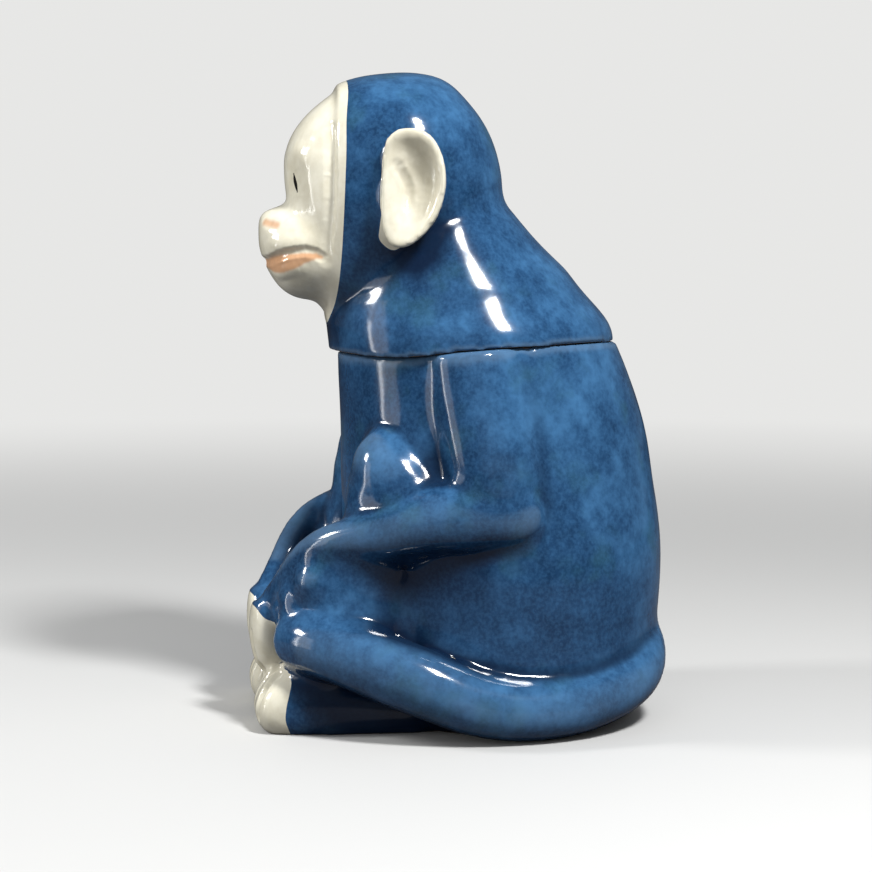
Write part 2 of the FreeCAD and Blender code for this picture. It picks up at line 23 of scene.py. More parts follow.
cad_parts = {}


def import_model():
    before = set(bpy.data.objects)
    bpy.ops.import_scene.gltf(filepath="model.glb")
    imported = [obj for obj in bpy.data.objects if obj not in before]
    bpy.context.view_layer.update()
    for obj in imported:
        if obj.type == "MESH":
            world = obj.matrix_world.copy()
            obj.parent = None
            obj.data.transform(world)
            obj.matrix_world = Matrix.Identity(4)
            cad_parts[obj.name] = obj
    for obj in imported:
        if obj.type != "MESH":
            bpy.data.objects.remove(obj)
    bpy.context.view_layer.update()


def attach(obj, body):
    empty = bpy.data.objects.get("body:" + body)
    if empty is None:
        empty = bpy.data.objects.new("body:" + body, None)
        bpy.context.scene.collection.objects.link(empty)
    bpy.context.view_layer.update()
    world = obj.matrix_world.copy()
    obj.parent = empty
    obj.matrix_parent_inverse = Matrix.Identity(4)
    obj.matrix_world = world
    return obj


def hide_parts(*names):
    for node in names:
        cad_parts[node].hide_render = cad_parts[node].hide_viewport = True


MM = 0.001
WELD = 0.002
SMOOTHING = (0.5, -0.52)
MIDDLE_DEPTH = -25.0
LANDING = 9.0
ON_THE_FLOOR = 0.0
TOP_OF_THE_HEAD = 200.0
SHARP_ANGLE = 50.0
log = logging.getLogger("monkey_jar")

Point = tuple[float, float, float]
Corner = tuple[float, float]
Line = tuple[Corner, ...]
Mesh = bpy.types.Mesh
Piece = bpy.types.Object
Material = bpy.types.Material
Socket = bpy.types.NodeSocket
Node = bpy.types.Node
Tree = bpy.types.NodeTree
Array = np.ndarray


class Body(Enum):
    """The fired pieces that come apart."""

    JAR = "jar"
    LID = "lid"


class Slot(Enum):
    """The record's finishes that the castings wear."""

    BLUE = "blue_glaze"
    CREAM = "cream_glaze"


class Side(Enum):
    """The figure's own sides."""

    LEFT = 1.0
    RIGHT = -1.0

    def node(self, part: str) -> str:
        """The packed node of a paired part on this side."""
        return f"{self.name.lower()}_{part}"

    @classmethod
    def pairs(cls, *parts: str) -> tuple[str, ...]:
        """The packed nodes of some paired parts on both sides."""
        return tuple(side.node(part) for part in parts for side in cls)


# Mesh work


def metres(point: Point) -> Vector:
    """A point given in millimetres, in metres."""
    return Vector(point) * MM


def add_object(name: str, data: bpy.types.ID) -> Piece:
    """Puts a mesh, lamp or camera in the scene as an object at the origin.

    Args:
        name: The object's name.
        data: What it holds.

    Returns:
        The new object.
    """
    piece = bpy.data.objects.new(name, data)
    bpy.context.scene.collection.objects.link(piece)
    return piece


def point_at(holder: Piece, place: Point, aim: Point) -> None:
    """Stands a lamp or camera at a place and turns it to its aim."""
    holder.location = metres(place)
    holder.rotation_euler = (metres(aim) - holder.location).to_track_quat("-Z", "Y").to_euler()


@contextmanager
def opened(mesh: Mesh) -> Iterator[bmesh.types.BMesh]:
    """Opens a mesh for work and closes it with what was done.

    Args:
        mesh: The mesh.

    Yields:
        The form to work on.
    """
    form = bmesh.new()
    form.from_mesh(mesh)
    form.verts.ensure_lookup_table()
    yield form
    form.to_mesh(mesh)
    form.free()


def applied(piece: Piece) -> Mesh:
    """The piece's mesh with its modifiers worked in."""
    graph = bpy.context.evaluated_depsgraph_get()
    return bpy.data.meshes.new_from_object(piece.evaluated_get(graph))


def work_in(piece: Piece) -> None:
    """Works the piece's modifiers into its mesh and clears them.

    Args:
        piece: The piece.
    """
    mesh = applied(piece)
    piece.modifiers.clear()
    piece.data = mesh


@dataclass(frozen=True)
class Web:
    """Clay that fills the gap between two limbs, the same on both sides of the figure."""

    centre: Point
    reach: Point

    def add_to(self, form: bmesh.types.BMesh) -> None:
        """Adds the clay on both sides to a form.

        Args:
            form: The form.
        """
        x, y, z = self.centre
        for side in (1.0, -1.0):
            place = Matrix.Translation(metres((side * x, y, z)))
            place @= Matrix.Diagonal((*metres(self.reach), 1.0))
            bmesh.ops.create_icosphere(form, subdivisions=3, radius=1.0, matrix=place)


def members_copy(name: str, members: tuple[str, ...], webs: tuple[Web, ...] = ()) -> Piece:
    """Copies packed nodes into one object, each with its loose corners merged.

    Args:
        name: The new object's name.
        members: The names of the nodes.
        webs: The clay between them.

    Returns:
        The object that holds the copies.
    """
    whole = bpy.data.meshes.new(name)
    with opened(whole) as form:
        for member in members:
            single = bmesh.new()
            single.from_mesh(bpy.data.objects[member].data)
            bmesh.ops.remove_doubles(single, verts=single.verts, dist=WELD * MM)
            copy = bpy.data.meshes.new(member)
            single.to_mesh(copy)
            single.free()
            form.from_mesh(copy)
        for web in webs:
            web.add_to(form)
    return add_object(name, whole)


def even_skin(piece: Piece, voxel: float) -> None:
    """Covers a piece with one closed skin of even squares.

    Args:
        piece: The object to cover.
        voxel: The side of a square.
    """
    remesh = piece.modifiers.new("even_skin", "REMESH")
    remesh.mode = "VOXEL"
    remesh.voxel_size = voxel * MM
    work_in(piece)


def table(rows: bpy.types.bpy_prop_collection, name: str) -> Array:
    """Reads three numbers from each row of a mesh's data.

    Args:
        rows: The data.
        name: What the three numbers are called in it.

    Returns:
        The numbers, one row each.
    """
    flat = np.empty(len(rows) * 3, np.float32)
    rows.foreach_get(name, flat)
    return flat.reshape(-1, 3).astype(np.float64)


def positions(mesh: Mesh) -> Array:
    """The mesh's points in millimetres, one row each."""
    return table(mesh.vertices, "co") / MM


def set_positions(mesh: Mesh, points: Array) -> None:
    """Moves the mesh's points to places in millimetres."""
    mesh.vertices.foreach_set("co", (points * MM).ravel())
    mesh.update()


def normals(mesh: Mesh) -> Array:
    """The direction that each point of the mesh faces."""
    return table(mesh.vertex_normals, "vector")


def relax(mesh: Mesh, passes: int, region: Array | None = None) -> None:
    """Smooths a skin without letting it shrink.

    Args:
        mesh: The skin.
        passes: How many pairs of smoothing strokes it gets.
        region: Which points may move, or all of them.
    """
    axes = {f"use_axis_{axis}": True for axis in "xyz"}
    with opened(mesh) as form:
        chosen = form.verts if region is None else [form.verts[i] for i in np.flatnonzero(region)]
        for _ in range(passes):
            for factor in SMOOTHING:
                bmesh.ops.smooth_vert(form, verts=chosen, factor=factor, **axes)


def refine(mesh: Mesh, region: Array) -> None:
    """Splits the squares of a region in four.

    Args:
        mesh: The skin.
        region: Which points the region holds.
    """
    with opened(mesh) as form:
        edges = [e for e in form.edges if region[e.verts[0].index] and region[e.verts[1].index]]
        bmesh.ops.subdivide_edges(form, edges=edges, cuts=1, use_grid_fill=True)
        loose = [f for f in form.faces if len(f.verts) > 4]
        bmesh.ops.triangulate(form, faces=loose)


def line_distance(points: Array, path: Array) -> tuple[Array, Array]:
    """How far each point is from a path, and how far along the path it lies.

    Args:
        points: The points, one row each.
        path: Two or more corners of the path.

    Returns:
        The distances, and the shares of the path's length.
    """
    lengths = np.linalg.norm(np.diff(path, axis=0), axis=1)
    total = max(lengths.sum(), 1e-9)
    best = np.full(len(points), 1e9)
    along = np.zeros(len(points))
    start = 0.0
    for a, b, length in zip(path, path[1:], lengths):
        run = b - a
        t = np.clip((points - a) @ run / max(run @ run, 1e-12), 0, 1)
        gap = np.linalg.norm(points - (a + t[:, None] * run), axis=1)
        closer = gap < best
        best[closer] = gap[closer]
        along[closer] = (start + t[closer] * length) / total
        start += length
    return best, along


def landed(mesh: Mesh, path: tuple[Point, ...], slack: Point) -> Array:
    """Lays a path down on a skin.

    Args:
        mesh: The skin.
        path: The corners of the path, near the skin.
        slack: The weight of a miss along each axis, small where the path is only a guess.

    Returns:
        The points of the skin that the path runs over, about a millimetre apart.
    """
    points = positions(mesh)
    facing = normals(mesh)
    corners = np.array(path, float)
    steps = np.linalg.norm(np.diff(corners, axis=0), axis=1)
    along = np.concatenate([[0], np.cumsum(steps)])
    marks = np.linspace(0, along[-1], max(2, int(along[-1]) + 1))
    corners = np.stack([np.interp(marks, along, corners[:, k]) for k in range(3)], axis=1)
    reach = np.ptp(corners, axis=0) / 2 + LANDING
    close = np.all(np.abs(points - corners.mean(axis=0)) < reach, axis=1)
    points, facing = points[close], facing[close]
    laid = []
    for corner in corners:
        outward = corner - np.array([0.0, MIDDLE_DEPTH, corner[2]])
        miss = np.sum(((points - corner) * np.array(slack)) ** 2, axis=1)
        miss[facing @ outward < 0] += 1e6
        laid.append(points[np.argmin(miss)])
    return np.array(laid)


@dataclass(frozen=True)
class Stroke:
    """One stroke of a modelling tool along a path: it presses the clay in, or draws it out.

    A negative depth draws out. The tail is the share of the depth at the path's two ends, and
    the slack weighs a miss along each axis when the path is laid on the skin.
    """

    path: tuple[Point, ...]
    radius: float
    depth: float
    tail: float = 0.3
    slack: Point = (0.15, 1.0, 1.0)

    def mirrored(self) -> Stroke:
        """The same stroke on the figure's other side."""
        path = tuple((-x, y, z) for x, y, z in self.path)
        return replace(self, path=path)

    def press(self, mesh: Mesh) -> None:
        """Moves the mesh's points as the tool would.

        Args:
            mesh: The skin.
        """
        points = positions(mesh)
        gap, along = line_distance(points, landed(mesh, self.path, self.slack))
        share = np.clip(1 - (gap / self.radius) ** 2, 0, None) ** 2
        ends = self.tail + (1 - self.tail) * np.sin(math.pi * np.clip(along, 0.01, 0.99)) ** 0.5
        push = (self.depth * share * ends)[:, None]
        set_positions(mesh, points - normals(mesh) * push)


def smooth_step(value: Array) -> Array:
    """A soft step from 0 to 1."""
    t = np.clip(value, 0, 1)
    return t * t * (3 - 2 * t)


def store(mesh: Mesh, name: str, values: Array) -> None:
    """Keeps one number for each point of a mesh, for its finish to read."""
    attribute = mesh.attributes.new(name, "FLOAT", "POINT")
    attribute.data.foreach_set("value", values.astype(np.float32))


class Net:
    """The points of a skin and how they hang together."""

    # The looks round, which give the painted shade: where their scatter starts, how far they
    # stray from straight out, how much they lean up, how far off the skin they start, and how
    # long the outcome is spread.
    seed = 5
    scatter = 0.98
    skyward = 0.95
    clear = 0.7
    blur = 24
    # The slip: the hollow it leaves as it is, and how long it settles before a new look.
    level = 0.004
    turns = 5

    def __init__(self, mesh: Mesh) -> None:
        """Reads the skin's edges once.

        Args:
            mesh: The skin.
        """
        self.mesh = mesh
        edges = np.empty(len(mesh.edges) * 2, np.int64)
        mesh.edges.foreach_get("vertices", edges)
        self.ends = edges.reshape(-1, 2).T
        size = len(mesh.vertices)
        count = sum(np.bincount(end, minlength=size) for end in self.ends)
        self.count = np.maximum(count, 1)[:, None]

    def mean(self, values: Array) -> Array:
        """The mean of each point's neighbours.

        Args:
            values: One row for each point.

        Returns:
            The means, one row each.
        """
        a, b = self.ends
        total = np.empty_like(values)
        for axis in range(values.shape[1]):
            total[:, axis] = np.bincount(a, values[b, axis], len(values))
            total[:, axis] += np.bincount(b, values[a, axis], len(values))
        return total / self.count

    def hollow(self, passes: int, span: float) -> Array:
        """How hollow the skin is round each point: 1 in a hollow, -1 on a ridge.

        Args:
            passes: How wide a neighbourhood is compared.
            span: The depth in millimetres that counts as 1.

        Returns:
            One number for each point.
        """
        points = positions(self.mesh)
        eased = points.copy()
        for _ in range(passes):
            eased = 0.5 * eased + 0.5 * self.mean(eased)
        return np.clip(np.sum((eased - points) * normals(self.mesh), axis=1) / span, -1, 1)

    def shelter(self, reach: float, looks: int) -> Array:
        """Painted shade: how much of the view out and up from each point the piece closes off.

        Args:
            reach: How far the view counts.
            looks: How many ways each point looks out.

        Returns:
            One number from 0 to 1 for each point.
        """
        points = positions(self.mesh)
        facing = normals(self.mesh)
        faces = [face.vertices[:] for face in self.mesh.polygons]
        tree = BVHTree.FromPolygons([Vector(p) for p in points], faces)
        spread = np.random.default_rng(self.seed)
        upward = np.array([0.0, 0.0, self.skyward])
        closed = np.zeros((len(points), 1))
        for _ in range(looks):
            ways = spread.normal(size=points.shape)
            ways /= np.linalg.norm(ways, axis=1)[:, None]
            ways = facing + self.scatter * ways + upward
            for i, (start, way) in enumerate(zip(points + facing * self.clear, ways)):
                if tree.ray_cast(start, way, reach)[3] is not None:
                    closed[i] += 1 / looks
        for _ in range(self.blur):
            closed = 0.4 * closed + 0.6 * self.mean(closed)
        return closed[:, 0]

    def settle(self, passes: int, share: Array) -> None:
        """Lets the slip fill the hollow places and leaves the ridges as they are.

        Args:
            passes: How long it settles.
            share: How freely it settles at each point, from 0 to 1.
        """
        chosen = np.flatnonzero(share > 0.01)
        free = share[chosen]
        points = positions(self.mesh)
        for turn in range(passes):
            if turn % self.turns == 0:
                set_positions(self.mesh, points)
                facing = normals(self.mesh)[chosen]
            pull = (self.mean(points)[chosen] - points[chosen]) * facing
            fill = np.clip(np.sum(pull, axis=1) - self.level, 0, None) * free
            points[chosen] += facing * fill[:, None]
        set_positions(self.mesh, points)


@dataclass(frozen=True)
class Hollow:
    """A place, the same on both sides, and how long the surface was softened there."""

    centre: Point
    reach: Point
    passes: int

    def share(self, mesh: Mesh) -> Array:
        """How strongly each point of a skin belongs to the place.

        Args:
            mesh: The skin.

        Returns:
            One number for each point, 0.9 at most.
        """
        points = positions(mesh)
        points[:, 0] = np.abs(points[:, 0])
        gap = np.linalg.norm((points - np.array(self.centre)) / np.array(self.reach), axis=1)
        return 0.9 * smooth_step((1.5 - gap) / 0.7)


def cut_with(piece: Piece, tool: Piece, operation: str, name: str) -> Piece:
    """Parts a piece with a closed tool and returns the outcome as a new object.

    Args:
        piece: The closed piece.
        tool: The closed tool.
        operation: INTERSECT keeps what is in the tool, DIFFERENCE the rest, and UNION both.
        name: The new object's name.

    Returns:
        The new object.
    """
    knife = piece.modifiers.new("knife", "BOOLEAN")
    knife.object = tool
    knife.operation = operation
    knife.solver = "MANIFOLD"
    mesh = applied(piece)
    piece.modifiers.clear()
    return add_object(name, mesh)


def eased(line: Line) -> list[Corner]:
    """A line of corners with soft turns.

    Args:
        line: The corners.

    Returns:
        The corners of the softer line.
    """
    points = [Vector(corner) for corner in line]
    ends = [points[0], *points, points[-1]]
    soft = []
    for p0, p1, p2, p3 in zip(ends, ends[1:], ends[2:], ends[3:]):
        for k in range(6):
            t = k / 6
            a = 2 * p1 + (p2 - p0) * t + (2 * p0 - 5 * p1 + 4 * p2 - p3) * t**2
            soft.append(tuple((a + (3 * p1 - p0 - 3 * p2 + p3) * t**3) / 2))
    soft.append(tuple(line[-1]))
    return soft


def block(name: str, outline: list[Corner], start: float, end: float) -> Piece:
    """A closed block with a side view drawn across the figure.

    Args:
        name: The block's name.
        outline: Its side view, depth and height.
        start: Where it starts across the figure.
        end: Where it ends.

    Returns:
        The block.
    """
    mesh = bpy.data.meshes.new(name)
    with opened(mesh) as form:
        side = form.faces.new([form.verts.new(metres((start, y, z))) for y, z in outline])
        drawn = bmesh.ops.extrude_face_region(form, geom=[side])["geom"]
        verts = [v for v in drawn if isinstance(v, bmesh.types.BMVert)]
        bmesh.ops.translate(form, verts=verts, vec=metres((end - start, 0.0, 0.0)))
        bmesh.ops.recalc_face_normals(form, faces=form.faces)
        bmesh.ops.triangulate(form, faces=form.faces)
    return add_object(name, mesh)


def drop(*pieces: Piece) -> None:
    """Takes helper objects out of the scene."""
    for piece in pieces:
        bpy.data.objects.remove(piece)


# Shading


class Shading:
    """Lays out the nodes of one material or node group."""

    def __init__(self, tree: Tree) -> None:
        """Starts with an empty tree."""
        self.tree = tree
        tree.nodes.clear()

    def node(self, kind: str, *values: object, **settings: object) -> Node:
        """Adds a shader node, sets its options and fills its first sockets.

        Args:
            kind: Its type, without ShaderNode.
            values: What its first sockets get.
            settings: Its options.

        Returns:
            The node.
        """
        node = self.tree.nodes.new(f"ShaderNode{kind}")
        for key, value in settings.items():
            setattr(node, key, value)
        for socket, value in enumerate(values):
            self.put(node, socket, value)
        return node

    def put(self, node: Node, socket: str | int, value: object) -> None:
        """Links a socket to an output, or sets its number or colour.

        Args:
            node: The node.
            socket: The socket's name or number.
            value: An output, a number or a colour.
        """
        if isinstance(value, Socket):
            self.tree.links.new(value, node.inputs[socket])
        elif isinstance(value, tuple):
            node.inputs[socket].default_value = (*value, 1.0)
        else:
            node.inputs[socket].default_value = value

    def math(self, operation: str, a: object, b: object) -> Socket:
        """One sum of two numbers."""
        return self.node("Math", a, b, operation=operation).outputs[0]

    def times(self, a: object, b: object) -> Socket:
        """One number times another."""
        return self.math("MULTIPLY", a, b)

    def plus(self, a: object, b: object) -> Socket:
        """One number and another."""
        return self.math("ADD", a, b)

    def spread(self, value: object, low: float, high: float) -> Socket:
        """Stretches low to high over 0 to 1 with soft ends."""
        return self.node("MapRange", value, low, high, interpolation_type="SMOOTHSTEP").outputs[0]

    def layer(self, share: Socket, under: Node, over: Node) -> Socket:
        """One surface over another."""
        return self.node("MixShader", share, under.outputs[0], over.outputs[0]).outputs[0]

    def mix(self, share: object, a: object, b: object) -> Socket:
        """One colour over another.

        Args:
            share: How much of the second colour shows.
            a: The first colour.
            b: The second colour.

        Returns:
            The mixed colour.
        """
        node = self.node("Mix", data_type="RGBA")
        self.put(node, 0, share)
        self.put(node, 6, a)
        self.put(node, 7, b)
        return node.outputs[2]

    def noise(self, scale: float, detail: float, roughness: float) -> Socket:
        """A cloudy pattern on the object's own coordinates, scale in cycles per metre.

        Args:
            scale: Its cycles in a metre.
            detail: How many finer layers it has.
            roughness: How strong they are.

        Returns:
            The pattern, from 0 to 1.
        """
        node = self.node("TexNoise", self.place())
        for label, value in (("Scale", scale), ("Detail", detail), ("Roughness", roughness)):
            self.put(node, label, value)
        return node.outputs["Fac"]

    def place(self) -> Socket:
        """Where a point lies on the object's own coordinates."""
        return self.node("TexCoord").outputs["Object"]

    def attribute(self, name: str) -> Socket:
        """The number that a piece keeps for each of its points."""
        return self.node("Attribute", attribute_name=name).outputs["Fac"]


def group(name: str, colours: str, numbers: str, result: str) -> tuple:
    """Starts a node group with named sockets.

    Args:
        name: The group's name.
        colours: The names of its colour inputs, with commas.
        numbers: The names of its number inputs, with commas.
        result: Its output, Color or Height.

    Returns:
        The tree, its layout helper, its inputs' sockets and the output node.
    """
    tree = bpy.data.node_groups.new(name, "ShaderNodeTree")
    lay = Shading(tree)
    for names, kind in ((colours, "NodeSocketColor"), (numbers, "NodeSocketFloat")):
        for label in filter(None, names.split(", ")):
            tree.interface.new_socket(label, in_out="INPUT", socket_type=kind)
    kind = "NodeSocketColor" if result == "Color" else "NodeSocketFloat"
    tree.interface.new_socket(result, in_out="OUTPUT", socket_type=kind)
    ends = [tree.nodes.new(kind) for kind in ("NodeGroupInput", "NodeGroupOutput")]
    return tree, lay, ends[0].outputs, ends[1]


class Effects:
    """The shader effects that more than one finish uses, each built once."""

    def __init__(self) -> None:
        """Builds the groups."""
        self.clouds = self._clouds()
        self.pooling_and_shade = self._pooling_and_shade()
        self.ripple = self._ripple()

    @staticmethod
    def _clouds() -> Tree:
        """Soft clouds of deep, middle and pale colour, stray patches, fine grain, painted light.

        Returns:
            The node group.
        """
        tree, lay, given, out = group(
            "glaze_clouds",
            "Deep, Middle, Pale, Patch",
            "Patch Share, Grain Share, Thinned Share",
            "Color",
        )
        wide = lay.noise(26.0, 2.0, 0.5)
        close = lay.noise(110.0, 3.0, 0.6)
        small = lay.noise(330.0, 3.0, 0.6)
        speck = lay.noise(900.0, 2.0, 0.6)
        cloud = lay.plus(lay.times(wide, 0.42), lay.times(close, 0.36))
        cloud = lay.plus(cloud, lay.times(small, 0.22))
        # Painted light: paler on the back and shoulders, where the lamp above and behind falls.
        thinned = lay.times(lay.attribute("thinned"), given["Thinned Share"])
        cloud = lay.plus(cloud, lay.math("SUBTRACT", thinned, 0.04))
        base = lay.mix(lay.spread(cloud, 0.36, 0.56), given["Deep"], given["Middle"])
        base = lay.mix(lay.spread(cloud, 0.47, 0.74), base, given["Pale"])
        stray = lay.spread(lay.noise(48.0, 3.0, 0.6), 0.52, 0.70)
        base = lay.mix(lay.times(stray, given["Patch Share"]), base, given["Patch"])
        grain = lay.times(lay.spread(speck, 0.35, 0.68), given["Grain Share"])
        base = lay.mix(grain, base, given["Pale"])
        lay.put(out, "Color", base)
        return tree

    @staticmethod
    def _pooling_and_shade() -> Tree:
        """Dark glaze in the creases and thin pale glaze on the ridges, with painted shade.

        The creases are partly pooled glaze and partly painted shade, and painted shade also
        darkens the glaze under overhangs and in large hollows.

        Returns:
            The node group.
        """
        tree, lay, given, out = group(
            "glaze_pooling_and_shade",
            "Color, Thick, Thin",
            "Thick Share, Thin Share, Shelter Share",
            "Color",
        )
        hollow = lay.attribute("hollow")
        # Dark in the creases: partly pooled glaze, partly painted shade.
        thick = lay.times(lay.spread(hollow, 0.05, 0.75), given["Thick Share"])
        colour = lay.mix(thick, given["Color"], given["Thick"])
        ridge = lay.times(hollow, -1.0)
        thin = lay.times(lay.spread(ridge, 0.35, 0.95), given["Thin Share"])
        colour = lay.mix(thin, colour, given["Thin"])
        # Painted shade under overhangs and in large hollows.
        shelter = lay.spread(lay.attribute("shelter"), 0.04, 0.42)
        shelter = lay.times(shelter, given["Shelter Share"])
        lay.put(out, "Color", lay.mix(shelter, colour, given["Thick"]))
        return tree

    @staticmethod
    def _ripple() -> Tree:
        """The slow ripple and faint orange peel of a fired glaze.

        Returns:
            The node group.
        """
        tree, lay, given, out = group("glaze_ripple", "", "Ripple, Peel", "Height")
        slow = lay.times(lay.noise(60.0, 1.0, 0.4), given["Ripple"])
        fine = lay.times(lay.noise(380.0, 1.0, 0.4), given["Peel"])
        lay.put(out, "Height", lay.plus(slow, fine))
        return tree


def new_material(name: str) -> tuple[Material, Shading, Node]:
    """Starts a material with a Principled BSDF.

    Args:
        name: The material's name.

    Returns:
        The material, its layout helper and its BSDF.
    """
    material = bpy.data.materials.new(name)
    material.use_nodes = True
    lay = Shading(material.node_tree)
    shader = lay.node("BsdfPrincipled")
    lay.node("OutputMaterial", shader.outputs[0])
    return material, lay, shader


@dataclass(frozen=True)
class Glaze:
    """A glossy fired glaze over clay.

    Its clouds run from deep over middle to pale, with stray patches and fine grain, and are
    paler on the back and shoulders, which is painted light from the lamp above and behind. It
    is dark in the creases, partly where it pools and partly painted shade, thin where it breaks
    over an edge, and darker under overhangs and in large hollows, which is painted shade. Each
    of these has a share, which says how strong it is.

    Attributes:
        rough: Roughness of the surface.
        ripple: Height of the slow ripple.
        peel: Height of the fine orange peel.
        relief: The depth in metres that a height of 1 stands for.
        index: How strongly the glass bends light.
        clay: Colour where the glaze was wiped off.
        lining: Colour of the glaze inside.
    """

    name: str
    deep: Point
    middle: Point
    pale: Point
    patch: Point
    patch_share: float
    grain_share: float
    thinned_share: float
    thick: Point
    thin: Point
    pool_and_shade_share: float
    thin_share: float
    shelter_share: float
    rough: float
    ripple: float
    peel: float = 0.012
    relief: float = 0.00035
    index: float = 1.52
    clay: Point = (0.28, 0.20, 0.14)
    lining: Point = (0.72, 0.69, 0.57)

    def build(self, effects: Effects) -> Material:
        """Makes the material.

        Args:
            effects: The shared effects.

        Returns:
            The material.
        """
        material, lay, shader = new_material(self.name)
        # The clouds, with painted light on the back and shoulders.
        colour = self.place(lay, effects.clouds)
        # Pooled glaze and painted shade in the creases, and painted shade under overhangs.
        colour = self.place(lay, effects.pooling_and_shade, colour)
        bare = lay.spread(lay.attribute("bare"), 0.35, 0.65)
        lined = lay.spread(lay.attribute("lining"), 0.35, 0.65)
        colour = lay.mix(lined, colour, self.lining)
        colour = lay.mix(bare, colour, self.clay)
        lay.put(shader, "Base Color", self.painted(lay, colour))
        lay.put(shader, "Roughness", lay.plus(lay.times(bare, 0.6), self.rough))
        bump = lay.node("Bump", 1.0, self.relief)
        lay.put(bump, "Height", self.place(lay, effects.ripple))
        lay.put(shader, "Normal", bump.outputs["Normal"])
        lay.put(shader, "IOR", self.index)
        return material

    def place(self, lay: Shading, tree: Tree, colour: Socket | None = None) -> Socket:
        """Puts an effect in a material with this glaze's own values.

        Args:
            lay: The material's layout helper.
            tree: The effect's node group.
            colour: The colour that it works on, if it takes one.

        Returns:
            What the effect gives.
        """
        node = lay.node("Group", node_tree=tree)
        for label in node.inputs.keys():
            own = label.lower().replace(" ", "_")
            lay.put(node, label, colour if own == "color" else getattr(self, own))
        return node.outputs[0]

    def painted(self, lay: Shading, colour: Socket) -> Socket:
        """The colour with what is painted over it: nothing on a plain glaze."""
        return colour


@dataclass(frozen=True)
class FaceGlaze(Glaze):
    """The cream glaze with blush on the lips and nostrils and ink in the pupils."""

    blush: Point = (0.62, 0.31, 0.145)
    ink: Point = (0.012, 0.011, 0.010)

    def painted(self, lay: Shading, colour: Socket) -> Socket:
        """Lips, nostrils and pupils over the cream.

        Args:
            lay: The material's layout helper.
            colour: The glaze's own colour.

        Returns:
            The painted colour.
        """
        blush = lay.times(lay.spread(lay.attribute("blush"), 0.0, 1.0), 0.85)
        colour = lay.mix(blush, colour, self.blush)
        ink = lay.spread(lay.attribute("ink"), 0.35, 0.65)
        return lay.mix(ink, colour, self.ink)


# In each glaze the darkest colour is pooled glaze and painted shade; one share paints light.
BLUE = Glaze(
    name="blue_glaze",
    deep=(0.008, 0.035, 0.092), middle=(0.017, 0.066, 0.160), pale=(0.056, 0.176, 0.360),
    patch=(0.028, 0.098, 0.136),
    patch_share=0.45, grain_share=0.22, thinned_share=0.11,
    thick=(0.003, 0.010, 0.031), thin=(0.150, 0.260, 0.400),
    pool_and_shade_share=0.80, thin_share=0.35, shelter_share=0.93, rough=0.12, ripple=0.8,
)
CREAM = Glaze(
    name="cream_glaze",
    deep=(0.700, 0.655, 0.505), middle=(0.800, 0.765, 0.625), pale=(0.850, 0.825, 0.710),
    patch=(0.760, 0.690, 0.520),
    patch_share=0.20, grain_share=0.12, thinned_share=0.08,
    thick=(0.380, 0.330, 0.230), thin=(0.880, 0.865, 0.780),
    pool_and_shade_share=0.55, thin_share=0.45, shelter_share=0.25, rough=0.13, ripple=0.4,
)
FACE_CREAM = FaceGlaze(**{**CREAM.__dict__, "name": "face_glaze"})
CLAY = Glaze(
    name="bare_clay",
    deep=(0.40, 0.29, 0.19), middle=(0.48, 0.36, 0.25), pale=(0.56, 0.44, 0.32),
    patch=(0.34, 0.24, 0.16),
    patch_share=0.3, grain_share=0.5, thinned_share=0.08,
    thick=(0.26, 0.18, 0.12), thin=(0.60, 0.48, 0.36),
    pool_and_shade_share=0.5, thin_share=0.3, shelter_share=0.0, rough=0.72, ripple=0.4,
)


# The object


